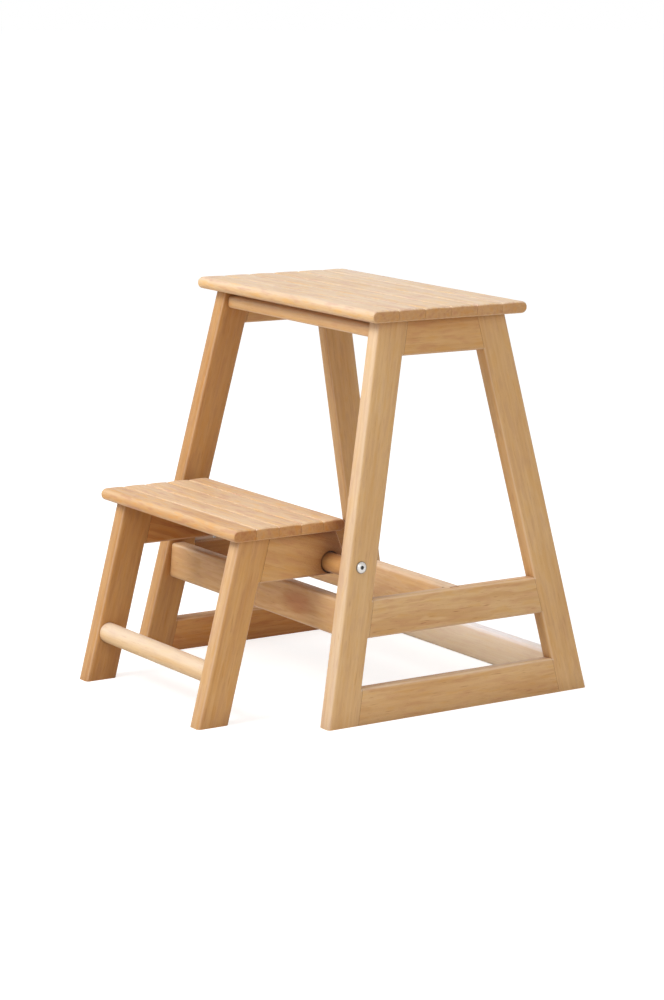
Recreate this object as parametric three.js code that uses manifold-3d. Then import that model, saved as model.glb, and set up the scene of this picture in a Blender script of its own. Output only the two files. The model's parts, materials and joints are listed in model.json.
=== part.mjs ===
import * as THREE from 'three';
import { mergeVertices } from 'three/addons/utils/BufferGeometryUtils.js';
import Module from 'manifold-3d';

// Folding step stool chair in millimetres, Z up. A slatted seat stands on two splayed side frames.
// A lower slatted step stands in front of it, towards -Y, and swings up and back on a round rod.

const wasm = await Module();
wasm.setup();

const degree = Math.PI / 180;
const quarterTurn = Math.PI / 2;

// Boards that the legs and rails are cut from
const boardWidth = 40;
const boardThickness = 19;
const arrisRound = 4;
const arrisSteps = 4;

// Clearance between joined pieces, and how far a rough board or a cut runs past its end
const jointGap = 0.3;
const overrun = 30;

// Seat
const seatHeight = 460;
const seatEndOverhang = 14.5;
const seatSlatWidth = 35.9;
const seatSlatCount = 6;
const seatFrontOverhang = 18;
const seatRearOverhang = 20;

// Slats of the seat and of the step
const slatThickness = 14;
const slatGap = 0.4;
const slatTopRound = 2.4;
const slatBottomRound = 1;
const slatNoseRound = 6.5;
const slatEndRound = 3;
const slatCornerRound = 2;
const slatInnerCornerRound = 0.4;

// Pegs that hold the slats down
const pegDiameter = 6;
const pegInFrame = 9;
const pegInSlat = 7;
const pegSides = 12;

// Splayed side frames
const frameTopWidth = 329;
const sideSplay = 5.4 * degree;
const frontLegLean = 10.8 * degree;
const rearLegLean = 13.5 * degree;
const midRailBelowPivot = 32.6;
const midRailWidth = 43;
const footRailHeight = 41;

// Tenons on the rails
const tenonThickness = 7;
const tenonShoulder = 11;
const sideTenonDepth = 14;
const crossTenonDepth = 10;

// Cross rails
const frontRailInset = 10.5;
const midRailFront = 126;
const rearRailInset = 13;

// Thin rails under the seat
const topRailHeight = 14.5;
const topRailDepth = 19;
const topRailInset = 8.5;
const topRailDrop = 7;
const topRailShoulder = 4;

// Pivot rod, with a bolt and an insert at each end
const pivotBelowTread = 37.2;
const pivotSetback = 18.5;
const rodDiameter = 22;
const rodClearance = 1.8;
const rodSides = 32;
const boltFlangeDiameter = 13.6;
const boltFlangeHeight = 0.9;
const boltHeadDiameter = 10.8;
const boltHeadHeight = 2.4;
const boltHeadFlat = 6.2;
const boltHeadSteps = 4;
const boltShankDiameter = 6;
const boltReach = 31;
const boltRise = 3.2;
const boltSides = 24;
const socketSides = 6;
const socketAcross = 4;
const socketDepth = 1.6;
const insertDiameter = 10;
const insertLength = 16;

// Pins through the rod that keep the step in the middle of it
const pinDiameter = 4;
const pinStandOut = 5;
const stepSidePlay = 0.6;

// Lower step
const stepHeight = 222.7;
const stepInset = 34;
const stepEndOverhang = 11.5;
const stepSlatWidth = 29.7;
const stepSlatCount = 5;
const stepOverhang = 14.7;
const treadReach = 138;
const stepLegLean = 13.55 * degree;
const stepRailEndWall = 9.2;
const stepRailLowCut = 7.2;
const stepRailTopInset = 4.1;
const stepRailEndSteps = 8;
const rungDiameter = 24;
const rungHeight = 56;
const rungSetback = 16;
const rungSocketDepth = 11;

// Places worked out from the sizes above, with Y measured from the pivot's axis
const seatUnderside = seatHeight - slatThickness;
const seatLength = frameTopWidth + 2 * seatEndOverhang;
const seatDepth = seatSlatCount * seatSlatWidth + (seatSlatCount - 1) * slatGap;
const legDrop = seatUnderside / Math.cos(sideSplay);
const treadUnderside = stepHeight - slatThickness;
const pivotHeight = treadUnderside - pivotBelowTread;
const midRailTop = pivotHeight - midRailBelowPivot;
const midRailLow = midRailTop - midRailWidth;
const frontLegSpan = boardWidth / Math.cos(frontLegLean);
const rearLegSpan = boardWidth / Math.cos(rearLegLean);
const frameFront = depthAt(pivotHeight) * Math.tan(frontLegLean) - pivotSetback;
const seatFront = frameFront - seatFrontOverhang;
const frameRear = seatFront + seatDepth - seatRearOverhang;
const stepDepth = stepSlatCount * stepSlatWidth + (stepSlatCount - 1) * slatGap;
const stepFront = stepOverhang - treadReach;
const stepFrameWidth = frameTopWidth - 2 * stepInset;
const stepLength = stepFrameWidth + 2 * stepEndOverhang;
const stepLegSpan = boardWidth / Math.cos(stepLegLean);
const rodHoleDiameter = rodDiameter + 2 * rodClearance;
const stepRailEndRound = rodHoleDiameter / 2 + stepRailEndWall;
const stepRailHeight = pivotBelowTread + stepRailEndRound - stepRailLowCut;
const stepRailTopReach = stepDepth - treadReach - stepRailTopInset;
const frontFootFront = stepFront - treadUnderside * Math.tan(stepLegLean);
const rearFootBack = frameRear + legDrop * Math.tan(rearLegLean);

// Bare wood and metal
const finishes = {
  leg: { color: 0xc79a68, roughness: 0.62, metalness: 0 },
  rail: { color: 0xbd8f5c, roughness: 0.62, metalness: 0 },
  slat: { color: 0xe2c29c, roughness: 0.58, metalness: 0 },
  round: { color: 0xe8cfae, roughness: 0.55, metalness: 0 },
  peg: { color: 0xd8b98f, roughness: 0.7, metalness: 0 },
  steel: { color: 0xc9c6c0, roughness: 0.32, metalness: 1 },
  brass: { color: 0xb89b5a, roughness: 0.4, metalness: 1 },
};

const stool = new THREE.Group();
stool.position.y = -(frontFootFront + rearFootBack) / 2;
const step = new THREE.Group();
step.position.z = pivotHeight;
stool.add(step);
const cutters = [];

// How far along a side frame's outer face a height lies below the seat's underside.
function depthAt(height) {
  return (seatUnderside - height) / Math.cos(sideSplay);
}

// Half the width between the inner faces of the side frames at a height.
function innerHalfWidthAt(height) {
  const outer = frameTopWidth / 2 + (seatUnderside - height) * Math.tan(sideSplay);
  return outer - boardThickness / Math.cos(sideSplay);
}

// The middle of a main leg's width at a depth below the seat's underside, along the side frame.
function frontLegMiddle(depth) {
  return frameFront + frontLegSpan / 2 - depth * Math.tan(frontLegLean);
}

function rearLegMiddle(depth) {
  return frameRear - rearLegSpan / 2 + depth * Math.tan(rearLegLean);
}

// The middle of a step leg's width at a depth below the tread's underside.
function stepLegMiddle(depth) {
  return stepFront + stepLegSpan / 2 - depth * Math.tan(stepLegLean);
}

// A mesh in its group, leaning about X.
function placed(mesh, group, place, lean = 0) {
  mesh.position.set(...place);
  mesh.rotation.x = lean;
  group.add(mesh);
  return mesh;
}

function piece(name, group, geometry, finish, place, lean) {
  const mesh = new THREE.Mesh(geometry, new THREE.MeshStandardMaterial(finish));
  mesh.name = name;
  return placed(mesh, group, place, lean);
}

// A shape that only cuts, joins or trims. All of these leave the model at the end.
function cutter(group, geometry, place, lean) {
  const mesh = placed(new THREE.Mesh(geometry), group, place, lean);
  cutters.push(mesh);
  return mesh;
}

// A mesh's surface as a solid, in a group's coordinates.
function solidOf(mesh, group) {
  mesh.updateWorldMatrix(true, false);
  group.updateWorldMatrix(true, false);
  const inGroup = group.matrixWorld.clone().invert().multiply(mesh.matrixWorld);
  const surface = mesh.geometry.clone();
  surface.deleteAttribute('normal');
  surface.deleteAttribute('uv');
  surface.applyMatrix4(mesh.parent === group ? mesh.matrix : inGroup);
  const merged = mergeVertices(surface);
  const vertProperties = new Float32Array(merged.attributes.position.array);
  const triVerts = new Uint32Array(merged.index.array);
  return new wasm.Manifold(new wasm.Mesh({ numProp: 3, vertProperties, triVerts }));
}

// Shapes a piece by steps in order: add, subtract or intersect a mesh, or what two meshes share.
function work(mesh, steps) {
  const group = mesh.parent;
  let solid = solidOf(mesh, group);
  for (const [action, tool, shared] of steps) {
    const other = solidOf(tool, group);
    solid = solid[action](shared ? other.intersect(solidOf(shared, group)) : other);
  }
  const result = solid.getMesh();
  const geometry = new THREE.BufferGeometry();
  geometry.setAttribute('position', new THREE.BufferAttribute(result.vertProperties, 3));
  geometry.setIndex(new THREE.BufferAttribute(result.triVerts, 1));
  geometry.applyMatrix4(mesh.matrix.clone().invert());
  geometry.computeVertexNormals();
  mesh.geometry = geometry;
}

function arc(x, y, radius, from, to, steps) {
  const points = [];
  for (let count = 0; count <= steps; count += 1) {
    const angle = from + ((to - from) * count) / steps;
    points.push(new THREE.Vector2(x + radius * Math.cos(angle), y + radius * Math.sin(angle)));
  }
  return points;
}

// A rectangle about zero with a radius for each corner: low left, low right, high right, high left.
function roundedRectangle(width, height, radii) {
  const signs = [[-1, -1], [1, -1], [1, 1], [-1, 1]];
  const points = signs.flatMap(([right, up], corner) => {
    const radius = radii[corner];
    const from = (corner + 2) * quarterTurn;
    const x = right * (width / 2 - radius);
    const y = up * (height / 2 - radius);
    return arc(x, y, radius, from, from + quarterTurn, arrisSteps);
  });
  return new THREE.Shape(points);
}

function evenlyRounded(width, height, radius) {
  return roundedRectangle(width, height, [radius, radius, radius, radius]);
}

function rectangle(width, height) {
  const right = width / 2;
  const top = height / 2;
  const corners = [[-right, -top], [right, -top], [right, top], [-right, top]];
  return new THREE.Shape(corners.map(([x, y]) => new THREE.Vector2(x, y)));
}

// Turns that lay an outline, drawn across and up, so that it runs along X, Y or Z.
const alongX = new THREE.Matrix4().makeBasis(
  new THREE.Vector3(0, 1, 0),
  new THREE.Vector3(0, 0, 1),
  new THREE.Vector3(1, 0, 0),
);
const alongY = new THREE.Matrix4().makeBasis(
  new THREE.Vector3(1, 0, 0),
  new THREE.Vector3(0, 0, 1),
  new THREE.Vector3(0, -1, 0),
);
const alongZ = new THREE.Matrix4();

function prism(outline, length, direction) {
  const geometry = new THREE.ExtrudeGeometry(outline, { depth: length, bevelEnabled: false });
  geometry.translate(0, 0, -length / 2);
  return geometry.applyMatrix4(direction);
}

function dowel(diameter, length, sides, direction) {
  const geometry = new THREE.CylinderGeometry(diameter / 2, diameter / 2, length, sides);
  return geometry.rotateX(quarterTurn).applyMatrix4(direction);
}

// The space between the floor and a level, which trims feet and tops flat.
function roomUnder(level) {
  const room = prism(rectangle(seatLength + legDrop, seatDepth + 2 * legDrop), level, alongZ);
  return cutter(stool, room, [0, 0, level / 2]);
}

const roomUnderSeat = roomUnder(seatUnderside - jointGap);
const roomUnderTread = roomUnder(treadUnderside - jointGap);

// A leg as a rounded board, with the sharp board that it fills at a joint and that board with a gap.
function makeLeg(name, group, place, length, lean) {
  const across = boardThickness + 2 * jointGap;
  const wide = boardWidth + 2 * jointGap;
  const section = evenlyRounded(boardThickness, boardWidth, arrisRound);
  return {
    mesh: piece(name, group, prism(section, length, alongZ), finishes.leg, place, lean),
    sharp: cutter(group, prism(rectangle(boardThickness, boardWidth), length, alongZ), place, lean),
    grown: cutter(group, prism(rectangle(across, wide), length, alongZ), place, lean),
  };
}

// A tenon bar through a rail and the mortises round its two ends.
function makeTenon(group, thickness, height, length, direction, place) {
  const slot = rectangle(thickness + 2 * jointGap, height + 2 * jointGap);
  return {
    tenon: cutter(group, prism(rectangle(thickness, height), length, direction), place),
    mortise: cutter(group, prism(slot, length + 2 * jointGap, direction), place),
  };
}

// A splayed side frame. Its group lies in the outer face, with its origin under the seat.
function makeSideFrame(side, label) {
  const group = new THREE.Group();
  group.position.set((side * frameTopWidth) / 2, 0, seatUnderside);
  group.rotation.y = -side * sideSplay;
  stool.add(group);
  const middle = (-side * boardThickness) / 2;
  const half = legDrop / 2;
  const frontLength = legDrop / Math.cos(frontLegLean) + 2 * overrun;
  const rearLength = legDrop / Math.cos(rearLegLean) + 2 * overrun;
  const frontPlace = [middle, frontLegMiddle(half), -half];
  const rearPlace = [middle, rearLegMiddle(half), -half];
  const front = makeLeg(`front_leg_${label}`, group, frontPlace, frontLength, -frontLegLean);
  const rear = makeLeg(`rear_leg_${label}`, group, rearPlace, rearLength, rearLegLean);
  const bands = [
    { name: 'top_side_rail', low: seatUnderside - boardWidth, high: seatUnderside, above: overrun },
    { name: 'mid_side_rail', low: midRailLow, high: midRailTop },
    { name: 'bottom_side_rail', low: 0, high: footRailHeight, below: overrun },
  ];
  const rails = bands.map(({ name, low, high, above = 0, below = 0 }) => {
    const top = above - depthAt(high);
    const bottom = -below - depthAt(low);
    const depth = depthAt((low + high) / 2);
    const from = frontLegMiddle(depth);
    const to = rearLegMiddle(depth);
    const place = [middle, (from + to) / 2, (top + bottom) / 2];
    const section = evenlyRounded(boardThickness, top - bottom, arrisRound);
    const sharp = rectangle(boardThickness + 2 * jointGap, top - bottom);
    const clear = to - from - (frontLegSpan + rearLegSpan) / 2;
    const clearMiddle = (from + to) / 2 + (frontLegSpan - rearLegSpan) / 4;
    const tenonHeight = high - low - 2 * tenonShoulder;
    const tenonLength = clear + 2 * sideTenonDepth;
    const tenonPlace = [middle, clearMiddle, -depth];
    const mesh = piece(`${name}_${label}`, group, prism(section, to - from, alongY), finishes.rail, place);
    const grown = cutter(group, prism(sharp, to - from, alongY), place);
    return { mesh, grown, ...makeTenon(group, tenonThickness, tenonHeight, tenonLength, alongY, tenonPlace) };
  });
  return { group, side, label, middle, front, rear, rails };
}

const sideFrames = [makeSideFrame(-1, 'left'), makeSideFrame(1, 'right')];

// A rail across the stool, cut to the boards at its ends and tenoned into them.
function makeCrossRail(name, plan) {
  const { front, depth, low, height, ends, sideShoulder, edgeShoulder } = plan;
  const centre = low + height / 2;
  const place = [0, front + depth / 2, centre];
  const innerWidth = 2 * innerHalfWidthAt(centre);
  const section = evenlyRounded(depth, height, arrisRound);
  const mesh = piece(name, stool, prism(section, innerWidth + boardThickness, alongX), finishes.rail, place);
  const tenonDepth = depth - 2 * sideShoulder;
  const tenonHeight = height - 2 * edgeShoulder;
  const tenonLength = innerWidth + 2 * crossTenonDepth;
  const { tenon, mortise } = makeTenon(stool, tenonDepth, tenonHeight, tenonLength, alongX, place);
  work(mesh, [...ends.map((end) => ['subtract', end]), ['add', tenon]]);
  return mortise;
}

const frontLegBoxes = sideFrames.map((frame) => frame.front.grown);
const rearLegBoxes = sideFrames.map((frame) => frame.rear.grown);
const midRailBoxes = sideFrames.map((frame) => frame.rails[1].grown);
const boardShoulders = { sideShoulder: (boardThickness - tenonThickness) / 2, edgeShoulder: tenonShoulder };
const topShoulders = { sideShoulder: topRailShoulder, edgeShoulder: topRailShoulder };
const midRailCentre = midRailTop - midRailWidth / 2;
const topRailLow = seatUnderside - topRailDrop - topRailHeight;
const topRailCentre = topRailLow + topRailHeight / 2;

const frontMortises = [
  makeCrossRail('front_cross_rail', {
    front: frontLegMiddle(depthAt(midRailCentre)) - frontLegSpan / 2 + frontRailInset,
    depth: boardThickness,
    low: midRailLow,
    height: midRailWidth,
    ends: frontLegBoxes,
    ...boardShoulders,
  }),
  makeCrossRail('top_front_rail', {
    front: frontLegMiddle(depthAt(topRailCentre)) - frontLegSpan / 2 + topRailInset,
    depth: topRailDepth,
    low: topRailLow,
    height: topRailHeight,
    ends: frontLegBoxes,
    ...topShoulders,
  }),
];
const rearMortises = [
  makeCrossRail('rear_bottom_rail', {
    front: rearLegMiddle(depthAt(boardWidth / 2)) - rearLegSpan / 2 + rearRailInset,
    depth: boardThickness,
    low: 0,
    height: boardWidth,
    ends: rearLegBoxes,
    ...boardShoulders,
  }),
  makeCrossRail('top_rear_rail', {
    front: rearLegMiddle(depthAt(topRailCentre)) + rearLegSpan / 2 - topRailInset - topRailDepth,
    depth: topRailDepth,
    low: topRailLow,
    height: topRailHeight,
    ends: rearLegBoxes,
    ...topShoulders,
  }),
];
const midMortise = makeCrossRail('mid_cross_rail', {
  front: midRailFront,
  depth: boardThickness,
  low: midRailLow,
  height: midRailWidth,
  ends: midRailBoxes,
  ...boardShoulders,
});

// A peg stands where its slat rests longest on one board of the frame below.
function pegPlace(slatFront, slatBack, supports) {
  let best = { length: 0, middle: 0 };
  for (const [front, back] of supports) {
    const from = Math.max(front, slatFront);
    const to = Math.min(back, slatBack);
    if (to - from > best.length) {
      best = { length: to - from, middle: (from + to) / 2 };
    }
  }
  return best.middle;
}

// A row of slats along X with rounded ends, each on two pegs. Returns the pegs' holes.
function makeSlats(slatName, pegName, group, plan) {
  const { count, width, length, front, underside, pegReach, supports } = plan;
  const height = underside + slatThickness / 2;
  const pegHeight = underside + (pegInSlat - pegInFrame) / 2;
  const holeLength = pegInFrame + pegInSlat;
  const holes = [];
  for (let index = 0; index < count; index += 1) {
    const slatFront = front + index * (width + slatGap);
    const place = [0, slatFront + width / 2, height];
    const frontNose = index === 0;
    const rearNose = index === count - 1;
    const section = roundedRectangle(width, slatThickness, [
      frontNose ? slatNoseRound : slatBottomRound,
      rearNose ? slatNoseRound : slatBottomRound,
      rearNose ? slatNoseRound : slatTopRound,
      frontNose ? slatNoseRound : slatTopRound,
    ]);
    const endOutline = evenlyRounded(length, slatThickness, slatEndRound);
    const frontCorner = frontNose ? slatCornerRound : slatInnerCornerRound;
    const rearCorner = rearNose ? slatCornerRound : slatInnerCornerRound;
    const topOutline = roundedRectangle(length, width, [frontCorner, frontCorner, rearCorner, rearCorner]);
    const rough = prism(section, length + overrun, alongX);
    const slat = piece(`${slatName}_${index + 1}`, group, rough, finishes.slat, place);
    const fromFront = cutter(group, prism(endOutline, width + overrun, alongY), place);
    const fromTop = cutter(group, prism(topOutline, slatThickness + overrun, alongZ), place);
    const pegMiddle = pegPlace(slatFront, slatFront + width, supports);
    const slatHoles = [-1, 1].map((side) => {
      const pegCentre = [side * pegReach, pegMiddle, pegHeight];
      const peg = dowel(pegDiameter, holeLength - 2 * jointGap, pegSides, alongZ);
      piece(`${pegName}_${index + 1}_${side < 0 ? 'left' : 'right'}`, group, peg, finishes.peg, pegCentre);
      return cutter(group, dowel(pegDiameter + 2 * jointGap, holeLength, pegSides, alongZ), pegCentre);
    });
    work(slat, [
      ['intersect', fromFront],
      ['intersect', fromTop],
      ...slatHoles.map((hole) => ['subtract', hole]),
    ]);
    holes.push(...slatHoles);
  }
  return holes;
}

const seatPegHoles = makeSlats('seat_slat', 'seat_peg', stool, {
  count: seatSlatCount,
  width: seatSlatWidth,
  length: seatLength,
  front: seatFront,
  underside: seatUnderside,
  pegReach: (frameTopWidth - boardThickness) / 2,
  supports: [
    [frameFront, frameFront + frontLegSpan - pegInFrame * Math.tan(frontLegLean)],
    [frameFront + frontLegSpan, frameRear - rearLegSpan],
    [frameRear - rearLegSpan + pegInFrame * Math.tan(rearLegLean), frameRear],
  ],
});

// The rod between the front legs, the bolts through the legs and the inserts in the rod's ends
const rod = piece(
  'pivot_rod',
  stool,
  dowel(rodDiameter, 2 * innerHalfWidthAt(pivotHeight) + boardThickness, rodSides, alongX),
  finishes.round,
  [0, 0, pivotHeight],
);
const rodCuts = frontLegBoxes.map((box) => ['subtract', box]);
const boltDepth = depthAt(pivotHeight + boltRise) - boardThickness * Math.tan(sideSplay);

// A bolt along Z with a flanged, domed head, its seat at zero.
function boltGeometry() {
  const flange = boltFlangeDiameter / 2;
  const shank = boltShankDiameter / 2;
  const flat = boltHeadFlat / 2;
  const outline = [[0, -boltReach], [shank, -boltReach], [shank, 0], [flange, 0], [flange, boltFlangeHeight]];
  for (let count = 0; count <= boltHeadSteps; count += 1) {
    const angle = (quarterTurn * count) / boltHeadSteps;
    const radius = flat + (boltHeadDiameter / 2 - flat) * Math.cos(angle);
    outline.push([radius, boltFlangeHeight + (boltHeadHeight - boltFlangeHeight) * Math.sin(angle)]);
  }
  outline.push([0, boltHeadHeight]);
  const geometry = new THREE.LatheGeometry(outline.map(([x, y]) => new THREE.Vector2(x, y)), boltSides);
  return geometry.rotateX(quarterTurn);
}

for (const frame of sideFrames) {
  const { group, side, label, middle } = frame;
  const halfTurn = new THREE.Matrix4().makeRotationZ(side > 0 ? 0 : 2 * quarterTurn);
  const outwards = alongX.clone().premultiply(halfTurn);
  const onFace = [side * jointGap, 0, -boltDepth];
  const turned = boltGeometry().applyMatrix4(outwards);
  const bolt = piece(`pivot_bolt_${label}`, group, turned, finishes.steel, onFace);
  const socketMiddle = boltHeadHeight + jointGap - socketDepth / 2 + overrun / 2;
  const socketCorners = socketAcross / Math.cos(Math.PI / socketSides);
  const hexagon = dowel(socketCorners, socketDepth + overrun, socketSides, alongX);
  const socket = cutter(group, hexagon, [side * socketMiddle, 0, -boltDepth]);
  work(bolt, [['subtract', socket]]);
  const insertMiddle = -side * (boardThickness + jointGap + insertLength / 2);
  const insert = piece(
    `bolt_insert_${label}`,
    group,
    dowel(insertDiameter, insertLength, boltSides, alongX),
    finishes.brass,
    [insertMiddle, 0, -boltDepth],
  );
  const shankHoleLength = 2 * (boltReach + overrun);
  const shankHole = dowel(boltShankDiameter + 2 * jointGap, shankHoleLength, boltSides, alongX);
  frame.boltHole = cutter(group, shankHole, [middle, 0, -boltDepth]);
  work(insert, [['subtract', frame.boltHole]]);
  const pocket = dowel(insertDiameter + 2 * jointGap, insertLength + 2 * overrun, boltSides, alongX);
  const pocketMiddle = insertMiddle + side * (overrun - jointGap);
  rodCuts.push(['subtract', cutter(group, pocket, [pocketMiddle, 0, -boltDepth])]);
}

// The pins through the rod, just inside the step's side rails
const pinReach = stepFrameWidth / 2 - boardThickness - stepSidePlay - pinDiameter / 2;
for (const [side, label] of [[-1, 'left'], [1, 'right']]) {
  const length = rodDiameter + 2 * pinStandOut;
  const place = [side * pinReach, 0, pivotHeight];
  piece(`rod_pin_${label}`, stool, dowel(pinDiameter, length, pegSides, alongZ), finishes.steel, place);
  const hole = cutter(stool, dowel(pinDiameter + 2 * jointGap, length, pegSides, alongZ), place);
  rodCuts.push(['subtract', hole]);
}
work(rod, rodCuts);

// The side frames' joints. A rail's body fills the leg out flush before the mortises are cut.
for (const { front, rear, rails, boltHole } of sideFrames) {
  const cut = (tool) => ['subtract', tool];
  const [topRail, midRail, bottomRail] = rails;
  const mortises = rails.map((rail) => rail.mortise);
  const frontCuts = [...mortises, ...frontMortises, ...seatPegHoles, boltHole].map(cut);
  const rearCuts = [...mortises, ...rearMortises, ...seatPegHoles].map(cut);
  const fillOut = (leg) => rails.map((rail) => ['add', rail.mesh, leg.sharp]);
  work(front.mesh, [...fillOut(front), ...frontCuts, ['intersect', roomUnderSeat]]);
  work(rear.mesh, [...fillOut(rear), ...rearCuts, ['intersect', roomUnderSeat]]);
  const legCuts = [cut(front.grown), cut(rear.grown)];
  const topCuts = [...seatPegHoles.map(cut), ['intersect', roomUnderSeat]];
  work(topRail.mesh, [...legCuts, ['add', topRail.tenon], ...topCuts]);
  work(midRail.mesh, [...legCuts, ['add', midRail.tenon], cut(midMortise)]);
  work(bottomRail.mesh, [...legCuts, ['add', bottomRail.tenon], ['intersect', roomUnderSeat]]);
}

// The lower step, with Z measured from the pivot's axis
const stepRailLow = pivotBelowTread - stepRailHeight;
const stepPegHoles = makeSlats('step_slat', 'step_peg', step, {
  count: stepSlatCount,
  width: stepSlatWidth,
  length: stepLength,
  front: -treadReach,
  underside: pivotBelowTread,
  pegReach: (stepFrameWidth - boardThickness) / 2,
  supports: [
    [stepFront, stepFront + stepLegSpan - pegInFrame * Math.tan(stepLegLean)],
    [stepFront + stepLegSpan, stepRailTopReach],
  ],
});

// The side rail's outline from the middle of the leg back round the pivot and up under the tread
function stepRailOutline(from) {
  const reach = Math.hypot(stepRailTopReach, pivotBelowTread);
  const lowAngle = Math.asin(stepRailLow / stepRailEndRound);
  const highAngle = Math.atan2(pivotBelowTread, stepRailTopReach) - Math.acos(stepRailEndRound / reach);
  const slope = (stepRailTopReach - stepRailEndRound * Math.cos(highAngle))
    / (pivotBelowTread - stepRailEndRound * Math.sin(highAngle));
  return new THREE.Shape([
    new THREE.Vector2(from, stepRailLow),
    ...arc(0, 0, stepRailEndRound, lowAngle, highAngle, stepRailEndSteps),
    new THREE.Vector2(stepRailTopReach + slope * overrun, pivotBelowTread + overrun),
    new THREE.Vector2(from, pivotBelowTread + overrun),
  ]);
}

const rungY = stepFront - (treadUnderside - rungHeight) * Math.tan(stepLegLean) + rungSetback;
const rungPlace = [0, rungY, rungHeight - pivotHeight];
const rungLength = stepFrameWidth - 2 * boardThickness + 2 * rungSocketDepth;
const rung = dowel(rungDiameter, rungLength - 2 * jointGap, rodSides, alongX);
piece('step_rung', step, rung, finishes.round, rungPlace);
const rungHole = cutter(step, dowel(rungDiameter + 2 * jointGap, rungLength, rodSides, alongX), rungPlace);
const rodHole = cutter(step, dowel(rodHoleDiameter, stepFrameWidth + overrun, rodSides, alongX), [0, 0, 0]);

for (const [side, label] of [[-1, 'left'], [1, 'right']]) {
  const x = (side * (stepFrameWidth - boardThickness)) / 2;
  const half = treadUnderside / 2;
  const legLength = treadUnderside / Math.cos(stepLegLean) + 2 * overrun;
  const legPlace = [x, stepLegMiddle(half), pivotBelowTread - half];
  const leg = makeLeg(`step_leg_${label}`, step, legPlace, legLength, -stepLegLean);
  const railDepth = stepRailHeight / 2;
  const railStart = stepLegMiddle(railDepth);
  const rounded = {
    depth: boardThickness - 2 * arrisRound,
    bevelSize: arrisRound,
    bevelThickness: arrisRound,
    bevelOffset: -arrisRound,
    bevelSegments: arrisSteps,
  };
  const railGeometry = new THREE.ExtrudeGeometry(stepRailOutline(railStart), rounded);
  railGeometry.translate(0, 0, arrisRound - boardThickness / 2).applyMatrix4(alongX);
  const rail = piece(`step_side_rail_${label}`, step, railGeometry, finishes.rail, [x, 0, 0]);
  const tenonMiddle = railStart + stepLegSpan / 2;
  const { tenon, mortise } = makeTenon(
    step,
    tenonThickness,
    stepRailHeight - 2 * tenonShoulder,
    2 * sideTenonDepth,
    alongY,
    [x, tenonMiddle, pivotBelowTread - railDepth],
  );
  const pegCuts = stepPegHoles.map((hole) => ['subtract', hole]);
  work(leg.mesh, [
    ['add', rail, leg.sharp],
    ['subtract', mortise],
    ['subtract', rungHole],
    ...pegCuts,
    ['intersect', roomUnderTread],
  ]);
  work(rail, [
    ['subtract', leg.grown],
    ['add', tenon],
    ['subtract', rodHole],
    ...pegCuts,
    ['intersect', roomUnderTread],
  ]);
}

for (const mesh of cutters) {
  mesh.removeFromParent();
}

export default stool;
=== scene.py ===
import json
import math
import random

import bmesh
import bpy
import numpy as np
from mathutils import Matrix, Vector


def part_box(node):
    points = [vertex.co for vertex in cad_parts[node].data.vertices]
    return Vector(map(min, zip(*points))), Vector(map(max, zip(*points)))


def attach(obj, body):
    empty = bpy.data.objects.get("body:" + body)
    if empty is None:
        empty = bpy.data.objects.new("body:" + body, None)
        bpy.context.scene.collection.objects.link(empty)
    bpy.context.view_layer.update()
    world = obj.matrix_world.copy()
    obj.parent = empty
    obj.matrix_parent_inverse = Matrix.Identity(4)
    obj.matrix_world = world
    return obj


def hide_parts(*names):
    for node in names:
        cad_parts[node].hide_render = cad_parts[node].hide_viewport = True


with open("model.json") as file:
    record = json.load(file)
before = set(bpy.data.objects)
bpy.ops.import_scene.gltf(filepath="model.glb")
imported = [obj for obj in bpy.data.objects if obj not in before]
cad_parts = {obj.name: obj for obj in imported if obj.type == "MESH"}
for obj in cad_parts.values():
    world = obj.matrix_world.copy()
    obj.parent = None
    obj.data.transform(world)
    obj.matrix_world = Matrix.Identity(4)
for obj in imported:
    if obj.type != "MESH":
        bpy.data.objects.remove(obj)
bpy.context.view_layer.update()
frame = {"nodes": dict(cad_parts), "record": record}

# Folding step stool chair: oiled wood with a slatted seat, and a slatted step that swings on a rod.
# Metres, with +Y from the step towards the back and +Z up.

MM = 0.001
NODES = frame["nodes"]
BODIES = frame["record"]["behaviour"]["bodies"]
BODY_OF = {node: body for body, nodes in BODIES.items() for node in nodes}
SLOT_OF = {part["node"]: part["material_slot"] for part in frame["record"]["subparts"]}
WHITE = (1, 1, 1, 1)

# Camera
AIM = Vector((0.0408, -0.0092, 0.2209))
CAMERA_AZIMUTH = math.radians(54.57)
CAMERA_PITCH = math.radians(11.1)
CAMERA_ROLL = math.radians(1.28)
CAMERA_DISTANCE = 3.3127
FOCAL_LENGTH = 102.78

# Light
LOW_LIGHT = (0.25, 0.235, 0.22, 1)
HIGH_LIGHT = (0.57, 0.57, 0.58, 1)
LIGHT_RISE = (0.05, 0.75)
LAMP_COLOUR = (1.0, 0.98, 0.97)
KEY_POWER = 72
KEY_SIZE = 1.5
KEY_PLACE = Vector((-0.1, -2.5, 2.55))
LEFT_POWER = 10
LEFT_SIZE = 2.4
LEFT_PLACE = Vector((-3.2, -2.3, 1.4))
RIGHT_POWER = 30
RIGHT_SIZE = 3.0
RIGHT_PLACE = Vector((3.6, -0.6, 1.6))
FLOOR_SIZE = 40
FLOOR_COLOUR = (0.6, 0.6, 0.6, 1)
FLOOR_GLOW = 0.7

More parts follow.
